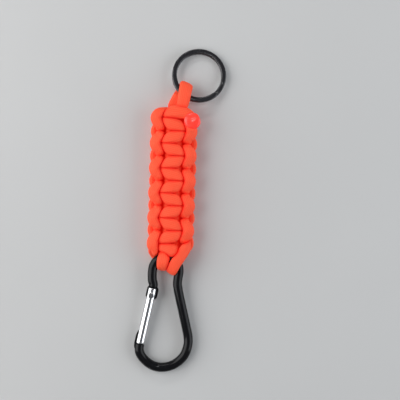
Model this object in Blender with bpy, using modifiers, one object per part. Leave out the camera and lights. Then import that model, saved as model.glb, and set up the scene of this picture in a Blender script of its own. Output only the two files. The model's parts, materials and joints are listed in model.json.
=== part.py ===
"""A paracord key fob: one cord tied in a cobra weave, a split key ring and a small gated carabiner.

Run with: blender --background --python part.py
The fob lies flat on its back. +Y runs along the weave towards the key ring, +Z is up, away from
the surface that it lies on. Lengths below are in millimetres, angles in degrees, and MM turns
them into Blender's metres. The origin is the middle of the fob's outline, at the surface.
"""

import math

import bmesh
import bpy
from mathutils import Matrix, Vector

MM = 0.001
COLLECTION = "paracord_key_fob"

# Where the middle of the weave lies in the fob's frame.
WEAVE_X = -3.99
WEAVE_Y = 9.36
WEAVE_Z = 5.0

# The cobra weave: bars cross the core on both faces, loops run along both edges.
HALF_KNOTS = 12
PITCH = 5.75
FIRST_BAR_V = 35.9
BAR_END_U = 4.6
BAR_W = 3.7
BAR_END_W = 3.35
EDGE_U = 6.8
LOOP_U = 8.8
LOOP_MIDDLE_U = 9.6
LOOP_W = 3.0
LOOP_MIDDLE_W = 3.2
CROSSING = 0.25
CORE_U = 2.0

# The cord is squeezed to these diameters.
WEAVING_D = 2.4
CORE_D = 2.8
LOOP_D = 2.4
WRAP_D = 1.7
CORD_STEP = 2.3
CORD_GAP = 0.3
CORD_SIDES = 2

# The split key ring: two turns of flat wire, with a step where it climbs from one to the other.
RING_OUTER_D = 25.4
RING_WIRE_WIDTH = 2.3
RING_WIRE_THICK = 1.05
RING_TURN_GAP = 0.12
RING_STEP_ANGLE = 34.0
RING_STEP_AT = 20.0
RING_POINTS_PER_TURN = 60
RING_CENTRE = (10.8, 54.0)
RING_HOLD_Z = 4.45

# The carabiner: a gourd of round rod, open where the gate closes it.
ROD_D = 4.3
EYE_BAR = (-1.7, -31.5)
EYE_BAR_Z = 5.0
GATE_PIVOT = (-8.2, -49.2)
GATE_END = (-12.7, -72.1)
GATE_D = 4.1
GATE_ABOVE_PIVOT = 3.3
SHOULDER_ABOVE_PIVOT = 4.1
SHOULDER_GAP = 0.45
TONGUE_THICK = 1.4
SLOT_WIDE = 1.8
TONGUE_WIDTH = 5.4
CAM_OFFSET = 0.2
TONGUE_BELOW_PIVOT = 2.3
SLOT_BELOW_PIVOT = 3.3
NOSE_LENGTH = 6.6
NOSE_PROUD = 0.65
NOSE_WALL = 0.9
NOSE_HOOK = 1.2
RIVET_D = 1.5
RIVET_CLEARANCE = 0.3
RIVET_HEAD_D = 2.8
RIVET_HEAD_THICK = 0.35
DIMPLE_D = 1.2
DIMPLE_DEPTH = 0.4
DIMPLE_ABOVE_PIVOT = 2.2
BORE_D = 2.5
BORE_DEPTH = 10.0
PLUNGER_D = 1.9
PLUNGER_LENGTH = 4.6
PLUNGER_TIP_GAP = 0.15
SPRING_D = 1.9
SPRING_WIRE_D = 0.3
SPRING_TURNS = 6
SPRING_POINTS_PER_TURN = 12
SPRING_CLEARANCE = 0.5

# Centre line of the rod in the carabiner's own plane, from the hinge over the eye to the nose.
ROD_ROUTE = (
    (-7.85, -42.5),
    (-8.0, -38.5),
    (-7.35, -35.0),
    (-5.1, -32.3),
    (-1.7, -31.5),
    (1.7, -32.2),
    (3.9, -34.7),
    (4.45, -37.6),
    (4.05, -41.0),
    (3.9, -44.0),
    (4.9, -49.0),
    (6.65, -55.95),
    (8.4, -62.95),
    (9.7, -68.8),
    (9.55, -73.0),
    (7.9, -77.5),
    (4.25, -81.15),
    (-0.55, -83.1),
    (-5.65, -82.85),
    (-10.0, -80.3),
    (-12.7, -76.8),
)
ROD_STEP = 1.7

MELTED_END_FRONT = (8.8, 32.6, 4.0)
MELTED_END_BACK = (-8.8, 38.1, -3.0)
MELTED_END_R = 2.6
MELTED_END_HALF_THICK = 1.2

NEON_ORANGE = (1.0, 0.12, 0.045)
MELTED_ORANGE = (0.85, 0.05, 0.03)
BLACK_OXIDE = (0.02, 0.02, 0.022)
BLACK_ANODISED = (0.012, 0.012, 0.014)
ALUMINIUM = (0.78, 0.79, 0.8)
STEEL = (0.55, 0.55, 0.56)


def clear_scene():
    for obj in list(bpy.data.objects):
        bpy.data.objects.remove(obj, do_unlink=True)


def make_collection(name):
    collection = bpy.data.collections.new(name)
    bpy.context.scene.collection.children.link(collection)
    return collection


def make_material(name, colour, roughness, metallic):
    material = bpy.data.materials.new(name)
    material.use_nodes = True
    shader = material.node_tree.nodes["Principled BSDF"]
    shader.inputs["Base Color"].default_value = (*colour, 1.0)
    shader.inputs["Roughness"].default_value = roughness
    shader.inputs["Metallic"].default_value = metallic
    material.diffuse_color = (*colour, 1.0)
    return material


def add_object(name, data, material=None, parent=None, collection=None):
    obj = bpy.data.objects.new(name, data)
    (collection or parts).objects.link(obj)
    obj.parent = parent
    if material is not None:
        data.materials.append(material)
    return obj


def add_frame(name, location, matrix, parent=None):
    """An empty that carries a sub-assembly: its origin is the axis that the pieces turn on."""
    frame = add_object(name, None, parent=parent)
    frame.matrix_local = Matrix.Translation(Vector(location) * MM) @ matrix.to_4x4()
    frame.empty_display_size = 5 * MM
    return frame


def add_cutter(name, mesh, parent):
    cutter = add_object(name, mesh, parent=parent, collection=cutters)
    cutter.hide_render = True
    cutter.display_type = "WIRE"
    return cutter


def combine(obj, other, operation):
    modifier = obj.modifiers.new(other.name, "BOOLEAN")
    modifier.operation = operation
    modifier.object = other
    modifier.solver = "EXACT"


def shade(mesh, angle=40.0):
    mesh.shade_smooth()
    mesh.set_sharp_from_angle(angle=math.radians(angle))


def smooth_curve(points, samples=16):
    """Points along the Catmull-Rom curve that passes through the given points."""
    points = [Vector(p) for p in points]
    path = []
    for i in range(len(points) - 1):
        before = points[max(i - 1, 0)]
        after = points[min(i + 2, len(points) - 1)]
        start, end = points[i], points[i + 1]
        for k in range(samples):
            t = k / samples
            path.append(
                0.5
                * (
                    2 * start
                    + (end - before) * t
                    + (2 * before - 5 * start + 4 * end - after) * t**2
                    + (3 * start - before - 3 * end + after) * t**3
                )
            )
    path.append(points[-1])
    return path


def evenly_spaced(path, step):
    """The same path with points a step apart, and its two ends kept."""
    lengths = [0.0]
    for a, b in zip(path, path[1:]):
        lengths.append(lengths[-1] + (b - a).length)
    count = max(2, round(lengths[-1] / step) + 1)
    spaced = []
    i = 0
    for k in range(count):
        target = lengths[-1] * k / (count - 1)
        while i < len(path) - 2 and lengths[i + 1] < target:
            i += 1
        part = (target - lengths[i]) / (lengths[i + 1] - lengths[i])
        spaced.append(path[i].lerp(path[i + 1], part))
    return spaced


def shorten(path, start=0.0, end=0.0):
    """The path with a length taken off each end."""
    for length in (start, end):
        while length > 0:
            first = (path[1] - path[0]).length
            if first > length:
                path = [path[0].lerp(path[1], length / first)] + path[1:]
                break
            path = path[1:]
            length -= first
        path = path[::-1]
    return path


def tube_curve(name, path, diameter, resolution, cyclic=False):
    curve = bpy.data.curves.new(name, "CURVE")
    curve.dimensions = "3D"
    curve.bevel_depth = diameter / 2 * MM
    curve.bevel_resolution = resolution
    curve.use_fill_caps = not cyclic
    spline = curve.splines.new("POLY")
    spline.points.add(len(path) - 1)
    for point, place in zip(spline.points, path):
        point.co = (*(Vector(place) * MM), 1.0)
    spline.use_cyclic_u = cyclic
    return curve


def mesh_of(obj):
    """A curve object's surface as a closed mesh, with the curve removed."""
    dependencies = bpy.context.evaluated_depsgraph_get()
    mesh = bpy.data.meshes.new_from_object(obj.evaluated_get(dependencies), depsgraph=dependencies)
    bpy.data.objects.remove(obj, do_unlink=True)
    work = bmesh.new()
    work.from_mesh(mesh)
    bmesh.ops.remove_doubles(work, verts=work.verts, dist=1e-6)
    bmesh.ops.recalc_face_normals(work, faces=work.faces)
    work.to_mesh(mesh)
    work.free()
    return mesh


def cylinder_mesh(name, radius, low, high, axis="Z", sides=32, top_radius=None):
    """A cylinder or a cone from low to high along one axis."""
    mesh = bpy.data.meshes.new(name)
    work = bmesh.new()
    turn = {"Z": Matrix.Identity(4), "Y": Matrix.Rotation(math.radians(-90), 4, "X")}[axis]
    bmesh.ops.create_cone(
        work,
        cap_ends=True,
        segments=sides,
        radius1=radius * MM,
        radius2=(radius if top_radius is None else top_radius) * MM,
        depth=(high - low) * MM,
        matrix=turn @ Matrix.Translation((0, 0, (low + high) / 2 * MM)),
    )
    work.to_mesh(mesh)
    work.free()
    shade(mesh)
    return mesh


def box_mesh(name, low, high):
    mesh = bpy.data.meshes.new(name)
    work = bmesh.new()
    size = Vector(high) - Vector(low)
    middle = (Vector(high) + Vector(low)) / 2
    scale = Matrix.Diagonal((*(size * MM), 1.0))
    bmesh.ops.create_cube(work, size=1.0, matrix=Matrix.Translation(middle * MM) @ scale)
    work.to_mesh(mesh)
    work.free()
    return mesh


def plate_mesh(name, outline, thickness):
    """A flat plate with the given outline, centred on the plane z = 0."""
    curve = bpy.data.curves.new(name, "CURVE")
    curve.dimensions = "2D"
    curve.fill_mode = "BOTH"
    curve.extrude = thickness / 2 * MM
    spline = curve.splines.new("POLY")
    spline.points.add(len(outline) - 1)
    for point, (x, y) in zip(spline.points, outline):
        point.co = (x * MM, y * MM, 0.0, 1.0)
    spline.use_cyclic_u = True
    return mesh_of(add_object(name, curve, collection=cutters))


# The cord. Its route is one line from the melted end at the back, down the weave, round the
# carabiner, up the core, through the key ring, down the core, round the carabiner again and up
# the weave to the melted end at the front. Places are (u, v, w): across, along and through the
# weave, from its middle.


def along(q):
    """The place along the weave of bar number q, counted from the key ring."""
    return FIRST_BAR_V - PITCH * (q - 1)


def half_knot(n, side, face, pressed=False):
    """One bar across the core on one face, then the loop up the far edge on the other face."""
    far = -side
    loop_w = -face * LOOP_W
    top_w = loop_w * (0.8 if pressed else 1.0)
    top_q = n - (0.95 if pressed else 1.05)
    return [
        (side * EDGE_U, along(n - CROSSING), 0.0),
        (side * BAR_END_U, along(n - 0.2), face * BAR_END_W),
        (0.0, along(n), face * BAR_W),
        (far * BAR_END_U, along(n + 0.2), face * BAR_END_W),
        (far * EDGE_U, along(n + CROSSING), 0.0),
        (far * LOOP_U, along(n + 0.05), loop_w),
        (far * LOOP_MIDDLE_U, along(n - 0.5), -face * LOOP_MIDDLE_W),
        (far * LOOP_U, along(top_q), top_w),
    ]


def front_cord_places():
    """The cord that makes every front bar, from the carabiner up to its end at the back."""
    places = [
        (-EDGE_U, along(12) + 1.7, 0.0),
        (-BAR_END_U, along(11.8), BAR_END_W),
        (0.0, along(12) + 0.35, BAR_W + 0.05),
        (3.9, along(12) - 0.7, 3.1),
        (6.6, along(12) - 1.3, 0.0),
        (LOOP_U, along(12.05), -LOOP_W),
        (LOOP_MIDDLE_U, along(11.5), -LOOP_MIDDLE_W),
        (LOOP_U, along(10.95), -LOOP_W),
    ]
    for n in range(HALF_KNOTS - 1, 1, -1):
        places += half_knot(n, 1 if n % 2 else -1, 1)
    places += half_knot(1, 1, 1)[:5]
    places.append((-8.0, along(1.1), -0.9))
    return places


def back_cord_places():
    """The cord that makes every back bar, from the carabiner up to its end at the front."""
    places = [
        (EDGE_U, along(11.75), 0.0),
        (BAR_END_U, along(11.8), -BAR_END_W),
        (0.0, along(12) + 0.35, -BAR_W - 0.05),
        (-BAR_END_U, along(12) - 0.6, -BAR_END_W),
        (-7.6, along(12) - 0.6, 0.0),
        (-LOOP_U, along(11.95), LOOP_W),
        (-LOOP_MIDDLE_U, along(11.5), LOOP_MIDDLE_W),
        (-LOOP_U, along(10.95), LOOP_W),
    ]
    for n in range(HALF_KNOTS - 1, 1, -1):
        places += half_knot(n, -1 if n % 2 else 1, -1, pressed=n == 3)
    places[-1] = (-8.3, along(0.85), 3.3)
    places += [
        (-6.2, along(1) + 2.7, 2.0),
        (-5.6, along(1) + 2.4, 0.0),
        (-4.4, along(1) + 1.1, -2.9),
        (0.0, along(1), -BAR_W),
        (BAR_END_U, along(1.2), -BAR_END_W),
        (EDGE_U, along(1.25), 0.0),
        (8.2, along(1.35), 1.5),
    ]
    return places


LEFT_WRAP = [
    (-2.0, -24.0, 0.0),
    (-2.2, -26.5, 0.35),
    (-2.6, -28.8, 1.95),
    (-3.1, -31.7, 3.6),
    (-3.4, -34.9, 2.7),
    (-3.5, -36.5, 0.0),
    (-3.8, -34.9, -2.7),
    (-4.7, -32.2, -3.7),
    (-7.4, -30.1, -3.65),
    (-9.2, -28.0, -3.1),
    (-8.9, -26.4, -1.9),
]
RIGHT_WRAP = [
    (2.0, -24.0, 0.0),
    (2.0, -26.5, -0.35),
    (1.7, -28.8, -1.95),
    (1.2, -32.1, -3.6),
    (0.4, -35.7, -2.8),
    (-0.1, -37.8, 0.0),
    (0.9, -36.4, 2.7),
    (2.9, -33.0, 4.2),
    (6.2, -29.8, 4.35),
    (8.5, -27.8, 3.5),
    (8.3, -26.7, 1.6),
]
KEY_LOOP = [
    (-2.0, 30.0, 0.0),
    (-1.9, 34.0, 0.0),
    (-1.4, 37.4, -0.8),
    (-0.1, 40.2, -2.4),
    (1.7, 43.6, -3.7),
    (3.5, 46.6, -3.5),
    (5.0, 48.5, -1.9),
    (5.4, 48.8, 0.2),
    (5.1, 47.2, 2.1),
    (4.6, 44.1, 2.5),
    (3.9, 40.6, 1.9),
    (2.5, 36.6, 0.3),
    (2.0, 33.5, 0.0),
    (2.0, 30.0, 0.0),
]
CORE_TOP_V = 30.0
CORE_LOW_V = -24.0


def cord_piece(name, places, diameter, material, start_gap=0.0, end_gap=0.0):
    path = evenly_spaced(smooth_curve(places), 0.25)
    path = evenly_spaced(shorten(path, start_gap, end_gap), CORD_STEP)
    return add_object(name, tube_curve(name, path, diameter, CORD_SIDES), material, weave_frame)


def melted_end(name, centre, material):
    mesh = bpy.data.meshes.new(name)
    work = bmesh.new()
    radii = Vector((MELTED_END_R, MELTED_END_R, MELTED_END_HALF_THICK)) * MM
    bmesh.ops.create_uvsphere(
        work,
        u_segments=20,
        v_segments=10,
        radius=1.0,
        matrix=Matrix.Translation(Vector(centre) * MM) @ Matrix.Diagonal((*radii, 1.0)),
    )
    work.to_mesh(mesh)
    work.free()
    shade(mesh)
    return add_object(name, mesh, material, weave_frame)


def build_cord():
    nylon = make_material("neon_orange_nylon", NEON_ORANGE, 0.75, 0.0)
    melted = make_material("melted_nylon", MELTED_ORANGE, 0.25, 0.0)
    half = CORD_GAP / 2
    cord_piece("key_ring_loop", KEY_LOOP, LOOP_D, nylon, half, half)
    for name, u in (("core_strand_left", -CORE_U), ("core_strand_right", CORE_U)):
        cord_piece(name, [(u, CORE_TOP_V, 0), (u, CORE_LOW_V, 0)], CORE_D, nylon, half, half)
    cord_piece("carabiner_wrap_left", LEFT_WRAP, WRAP_D, nylon, half, half)
    cord_piece("carabiner_wrap_right", RIGHT_WRAP, WRAP_D, nylon, half, half)
    cord_piece("front_weaving_cord", front_cord_places(), WEAVING_D, nylon, half, 0.0)
    cord_piece("back_weaving_cord", back_cord_places(), WEAVING_D, nylon, half, 0.0)
    melted_end("melted_end_front", MELTED_END_FRONT, melted)
    melted_end("melted_end_back", MELTED_END_BACK, melted)


def build_key_ring():
    """Flat wire wound twice: the lower turn, a step up, and the upper turn."""
    black = make_material("black_oxide_steel", BLACK_OXIDE, 0.35, 0.8)
    mean_r = (RING_OUTER_D - RING_WIRE_WIDTH) / 2
    rise = RING_WIRE_THICK + RING_TURN_GAP
    turning = 720.0 - RING_STEP_ANGLE
    count = round(turning / 360.0 * RING_POINTS_PER_TURN)
    climb_from = 360.0 - RING_STEP_ANGLE
    path = []
    for k in range(count + 1):
        angle = turning * k / count
        climbed = min(max((angle - climb_from) / RING_STEP_ANGLE, 0.0), 1.0)
        z = rise * (climbed * climbed * (3 - 2 * climbed) - 0.5)
        at = math.radians(RING_STEP_AT + angle)
        path.append((mean_r * math.cos(at), mean_r * math.sin(at) + mean_r, z))
    section = bpy.data.curves.new("ring_section", "CURVE")
    section.dimensions = "2D"
    half_x = RING_WIRE_WIDTH / 2
    half_y = RING_WIRE_THICK / 2
    bevel = 0.28
    corners = [
        (half_x, half_y - bevel),
        (half_x - bevel, half_y),
        (-half_x + bevel, half_y),
        (-half_x, half_y - bevel),
        (-half_x, -half_y + bevel),
        (-half_x + bevel, -half_y),
        (half_x - bevel, -half_y),
        (half_x, -half_y + bevel),
    ]
    spline = section.splines.new("POLY")
    spline.points.add(len(corners) - 1)
    for point, (x, y) in zip(spline.points, corners):
        point.co = (x * MM, y * MM, 0.0, 1.0)
    spline.use_cyclic_u = True
    section_object = add_object("ring_section", section, collection=cutters)
    section_object.hide_render = True
    curve = tube_curve("key_ring", path, 0.0, 0)
    curve.twist_mode = "Z_UP"
    curve.bevel_mode = "OBJECT"
    curve.bevel_object = section_object
    mesh = mesh_of(add_object("key_ring_wire", curve))
    bpy.data.objects.remove(section_object, do_unlink=True)
    shade(mesh)
    add_object("key_ring", mesh, black, ring_frame)


def gate_axis_angle():
    """The gate's lean from the carabiner's long axis, in radians."""
    return math.atan2(GATE_PIVOT[0] - GATE_END[0], GATE_PIVOT[1] - GATE_END[1])


def in_gate_frame(x, y):
    """A place given from the gate's pivot along and across the gate, in the carabiner's plane."""
    lean = -gate_axis_angle()
    return (
        GATE_PIVOT[0] - EYE_BAR[0] + x * math.cos(lean) - y * math.sin(lean),
        GATE_PIVOT[1] - EYE_BAR[1] + x * math.sin(lean) + y * math.cos(lean),
    )


def gate_length():
    return math.hypot(GATE_PIVOT[0] - GATE_END[0], GATE_PIVOT[1] - GATE_END[1])


def rod_places():
    """The rod's centre line, from its shoulder at the hinge to its shoulder at the nose."""
    nose = -gate_length() - SHOULDER_GAP
    start = [
        in_gate_frame(0.0, SHOULDER_ABOVE_PIVOT),
        in_gate_frame(0.0, SHOULDER_ABOVE_PIVOT + 1.0),
    ]
    end = [
        in_gate_frame(0.0, nose - 1.2),
        in_gate_frame(0.0, nose),
    ]
    middle = [(u - EYE_BAR[0], v - EYE_BAR[1]) for u, v in ROD_ROUTE]
    return [(x, y, 0.0) for x, y in start + middle + end]


def hinge_tongue_outline():
    """A flat tongue whose oval end, set off the pivot, works as the plunger's cam."""
    half = TONGUE_WIDTH / 2
    outline = []
    for k in range(17):
        at = math.radians(180.0 + 180.0 * k / 16)
        outline.append((CAM_OFFSET + half * math.cos(at), TONGUE_BELOW_PIVOT * math.sin(at)))
    outline += [
        (half + CAM_OFFSET, SHOULDER_ABOVE_PIVOT - 1.0),
        (1.2, SHOULDER_ABOVE_PIVOT + 1.5),
        (-1.2, SHOULDER_ABOVE_PIVOT + 1.5),
        (CAM_OFFSET - half, SHOULDER_ABOVE_PIVOT - 1.0),
    ]
    return [in_gate_frame(x, y) for x, y in outline]


def nose_tongue_outline():
    """A flat hook that the gate closes onto, proud of the gate on its outer side."""
    low = -gate_length() - SHOULDER_GAP - 1.5
    high = -gate_length() + NOSE_LENGTH
    outer = -GATE_D / 2 - NOSE_PROUD
    inner = GATE_D / 2 - NOSE_WALL - 0.3
    outline = [
        (-0.6, low - 3.0),
        (1.2, low),
        (inner, low + 1.7),
        (inner, high - 0.6),
        (inner - 0.6, high),
        (outer + 1.6, high),
        (outer + 0.5, high - 0.9),
        (outer, high - NOSE_HOOK - 1.6),
        (outer, low + 1.8),
        (outer + 0.25, low),
        (outer + 1.1, low - 1.6),
    ]
    return [in_gate_frame(x, y) for x, y in outline]


def build_carabiner_body():
    black = make_material("black_anodised_aluminium", BLACK_ANODISED, 0.2, 0.9)
    path = evenly_spaced(smooth_curve(rod_places()), ROD_STEP)
    rod_curve = add_object("rod", tube_curve("rod", path, ROD_D, 3), parent=None)
    mesh = mesh_of(rod_curve)
    shade(mesh)
    body = add_object("carabiner_body", mesh, black, carabiner_frame)
    hinge = plate_mesh("hinge_tongue", hinge_tongue_outline(), TONGUE_THICK)
    nose = plate_mesh("nose_tongue", nose_tongue_outline(), TONGUE_THICK)
    hole = cylinder_mesh("hinge_hole", (RIVET_D + RIVET_CLEARANCE) / 2, -5.0, 5.0)
    combine(body, add_cutter("hinge_tongue", hinge, carabiner_frame), "UNION")
    combine(body, add_cutter("nose_tongue", nose, carabiner_frame), "UNION")
    hole_cutter = add_cutter("hinge_hole", hole, carabiner_frame)
    pivot = in_gate_frame(0.0, 0.0)
    hole_cutter.location = (pivot[0] * MM, pivot[1] * MM, 0.0)
    combine(body, hole_cutter, "DIFFERENCE")


def build_gate():
    """A round aluminium gate, slotted at both ends and bored for its spring."""
    aluminium = make_material("polished_aluminium", ALUMINIUM, 0.22, 1.0)
    length = gate_length()
    mesh = cylinder_mesh("gate", GATE_D / 2, -length, GATE_ABOVE_PIVOT, axis="Y", sides=32)
    gate = add_object("gate", mesh, aluminium, gate_frame)
    half_slot = SLOT_WIDE / 2
    cuts = (
        box_mesh("hinge_slot", (-5, -SLOT_BELOW_PIVOT, -half_slot), (5, 9, half_slot)),
        box_mesh(
            "nose_slot",
            (-5, -length - 3, -half_slot),
            (GATE_D / 2 - NOSE_WALL, -length + NOSE_LENGTH + 0.6, half_slot),
        ),
        cylinder_mesh(
            "spring_bore",
            BORE_D / 2,
            -SLOT_BELOW_PIVOT - BORE_DEPTH,
            -SLOT_BELOW_PIVOT + 1.0,
            axis="Y",
            sides=20,
        ),
        cylinder_mesh("rivet_hole", RIVET_D / 2 + 0.08, -5.0, 5.0, sides=20),
    )
    for mesh in cuts:
        combine(gate, add_cutter(mesh.name, mesh, gate_frame), "DIFFERENCE")
    for name, low, high in (
        ("dimple_top", GATE_D / 2 - DIMPLE_DEPTH, GATE_D),
        ("dimple_under", -GATE_D, -GATE_D / 2 + DIMPLE_DEPTH),
    ):
        dimple = cylinder_mesh(name, DIMPLE_D / 2, low, high, sides=16)
        cutter = add_cutter(name, dimple, gate_frame)
        cutter.location = (0.0, DIMPLE_ABOVE_PIVOT * MM, 0.0)
        combine(gate, cutter, "DIFFERENCE")


def build_rivet():
    """The pin that the gate turns on, with a head on each cheek."""
    steel = make_material("bright_steel", STEEL, 0.25, 1.0)
    face = GATE_D / 2 + 0.06
    profile = [
        (0.0, face + RIVET_HEAD_THICK),
        (RIVET_HEAD_D / 2 - 0.4, face + RIVET_HEAD_THICK),
        (RIVET_HEAD_D / 2, face + 0.1),
        (RIVET_HEAD_D / 2, face),
        (RIVET_D / 2, face),
        (RIVET_D / 2, -face),
        (RIVET_HEAD_D / 2, -face),
        (RIVET_HEAD_D / 2, -face - 0.1),
        (RIVET_HEAD_D / 2 - 0.4, -face - RIVET_HEAD_THICK),
        (0.0, -face - RIVET_HEAD_THICK),
    ]
    add_turned("pivot_rivet", profile, 24, steel, gate_frame)


def add_turned(name, profile, steps, material, parent):
    """A profile of (radius, height) points, top to bottom, turned about Z."""
    mesh = bpy.data.meshes.new(name)
    work = bmesh.new()
    verts = [work.verts.new((x * MM, 0.0, z * MM)) for x, z in profile]
    for a, b in zip(verts, verts[1:]):
        work.edges.new((a, b))
    work.to_mesh(mesh)
    work.free()
    obj = add_object(name, mesh, material, parent)
    screw = obj.modifiers.new("turn", "SCREW")
    screw.steps = steps
    screw.render_steps = steps
    screw.use_merge_vertices = True
    screw.merge_threshold = 1e-6
    return obj


def build_plunger():
    """The pin that the spring pushes against the tongue."""
    steel = make_material("plunger_steel", STEEL, 0.3, 1.0)
    radius = PLUNGER_D / 2
    tip = -(TONGUE_BELOW_PIVOT + PLUNGER_TIP_GAP)
    profile = [(0.0, tip)]
    for k in range(1, 5):
        at = math.radians(90.0 * k / 4)
        profile.append((radius * math.sin(at), tip - radius * (1 - math.cos(at)) * 0.5))
    profile += [(radius, tip - PLUNGER_LENGTH), (0.0, tip - PLUNGER_LENGTH)]
    plunger = add_turned("spring_plunger", profile, 20, steel, gate_frame)
    plunger.rotation_euler = (math.radians(-90), 0.0, 0.0)


def build_spring():
    steel = make_material("spring_steel", STEEL, 0.35, 1.0)
    top = -(TONGUE_BELOW_PIVOT + PLUNGER_TIP_GAP + PLUNGER_LENGTH + SPRING_CLEARANCE)
    low = -SLOT_BELOW_PIVOT - BORE_DEPTH + 0.35
    radius = (SPRING_D - SPRING_WIRE_D) / 2
    count = SPRING_TURNS * SPRING_POINTS_PER_TURN
    path = []
    for k in range(count + 1):
        at = math.tau * SPRING_TURNS * k / count
        y = top + (low - top) * k / count
        path.append((radius * math.cos(at), y, radius * math.sin(at)))
    add_object("gate_spring", tube_curve("gate_spring", path, SPRING_WIRE_D, 1), steel, gate_frame)


def carabiner_tilt():
    """The lean that lets the bow rest on the surface while the cord holds the eye up."""
    lowest = min(y for x, y, z in rod_places())
    return -math.asin((EYE_BAR_Z - ROD_D / 2 - 0.02) / -lowest)


def ring_matrix():
    """X along the wire where the cord holds it, Y towards the ring's middle, leaning down to rest."""
    mean_r = (RING_OUTER_D - RING_WIRE_WIDTH) / 2
    to_middle = Vector((*RING_CENTRE, 0.0)) - Vector((*KEY_LOOP[9][:2], 0.0))
    to_middle.normalize()
    thick = RING_WIRE_THICK + RING_TURN_GAP / 2
    turn = Matrix.Rotation(math.atan2(-to_middle.x, to_middle.y), 3, "Z")
    lean = Matrix.Rotation(-math.asin((RING_HOLD_Z - thick - 0.1) / (2 * mean_r)), 3, "X")
    hold = Vector((*RING_CENTRE, 0.0)) - to_middle * mean_r
    return hold, turn @ lean


clear_scene()
parts = make_collection(COLLECTION)
cutters = make_collection("cutters")
weave_frame = add_frame("weave_frame", (WEAVE_X, WEAVE_Y, WEAVE_Z), Matrix.Identity(3))
ring_hold, ring_turn = ring_matrix()
ring_frame = add_frame(
    "ring_frame", (ring_hold.x, ring_hold.y, RING_HOLD_Z - WEAVE_Z), ring_turn, weave_frame
)
carabiner_frame = add_frame(
    "carabiner_frame",
    (*EYE_BAR, EYE_BAR_Z - WEAVE_Z),
    Matrix.Rotation(-carabiner_tilt(), 3, "X"),
    weave_frame,
)
gate_frame = add_frame(
    "gate_frame",
    (*in_gate_frame(0.0, 0.0), 0.0),
    Matrix.Rotation(-gate_axis_angle(), 3, "Z"),
    carabiner_frame,
)
bpy.context.view_layer.update()
build_cord()
build_key_ring()
build_carabiner_body()
build_gate()
build_rivet()
build_plunger()
build_spring()
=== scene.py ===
"""The looks of a paracord key fob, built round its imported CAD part.

Lengths are in millimetres until MM turns them into Blender's metres. Places on the cord are
(u, v, w): across, along and through the weave, from its middle.
"""

import json
import math

import bmesh
import bpy
import numpy as np
from mathutils import Matrix, Vector, noise


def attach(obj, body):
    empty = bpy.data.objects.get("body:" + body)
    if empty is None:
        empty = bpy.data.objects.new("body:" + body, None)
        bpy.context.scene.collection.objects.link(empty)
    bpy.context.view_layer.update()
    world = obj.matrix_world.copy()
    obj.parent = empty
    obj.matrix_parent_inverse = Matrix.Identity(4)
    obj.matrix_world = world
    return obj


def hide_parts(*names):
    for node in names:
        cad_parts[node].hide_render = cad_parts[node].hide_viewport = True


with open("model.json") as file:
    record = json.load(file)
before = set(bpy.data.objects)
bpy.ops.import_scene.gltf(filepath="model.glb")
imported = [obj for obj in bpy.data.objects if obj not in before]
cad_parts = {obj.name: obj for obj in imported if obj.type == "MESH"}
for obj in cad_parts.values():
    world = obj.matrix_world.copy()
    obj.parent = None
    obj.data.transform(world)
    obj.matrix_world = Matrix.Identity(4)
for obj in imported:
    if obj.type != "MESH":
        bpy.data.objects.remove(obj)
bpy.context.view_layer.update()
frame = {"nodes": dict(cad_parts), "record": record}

MM = 0.001
JOINTS = {joint["name"]: joint for joint in frame["record"]["behaviour"]["joints"]}

# WEAVE is the middle of the weave in the row frame. The camera looks straight down on VIEW_CENTRE,
# turned a little, from CAMERA_HEIGHT above the height of that middle.
WEAVE = np.array([-3.99, 9.36, 5.0])
VIEW_CENTRE = (9.1, 5.16)
VIEW_TURN = 1.91
VIEW_WIDTH = 186.2
CAMERA_HEIGHT = 400.0
SENSOR = 36.0

camera_data = bpy.data.cameras.new("camera")
camera_data.sensor_width = SENSOR
camera_data.lens = SENSOR * CAMERA_HEIGHT / VIEW_WIDTH
camera_data.clip_start = 0.01
camera_data.clip_end = 20.0
camera = bpy.data.objects.new("camera", camera_data)
bpy.context.scene.collection.objects.link(camera)
camera.location = Vector((*VIEW_CENTRE, WEAVE[2] + CAMERA_HEIGHT)) * MM
camera.rotation_euler = (0.0, 0.0, math.radians(VIEW_TURN))
bpy.context.scene.camera = camera
bpy.context.scene.view_settings.view_transform = "Standard"


# ---------------------------------------------------------------- meshes from arrays


def mesh_from_arrays(name, points, quads, tris=()):
    """A mesh from an array of points in millimetres and arrays of corner numbers."""
    mesh = bpy.data.meshes.new(name)
    faces = [tuple(int(i) for i in f) for f in quads] + [tuple(int(i) for i in f) for f in tris]
    mesh.from_pydata((np.asarray(points) * MM).tolist(), [], faces)
    mesh.update()
    return mesh


def add_piece(name, mesh, material, body):
    obj = bpy.data.objects.new(name, mesh)
    bpy.context.scene.collection.objects.link(obj)
    if mesh.materials:
        mesh.materials[0] = material
    else:
        mesh.materials.append(material)
    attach(obj, body)
    return obj


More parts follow.
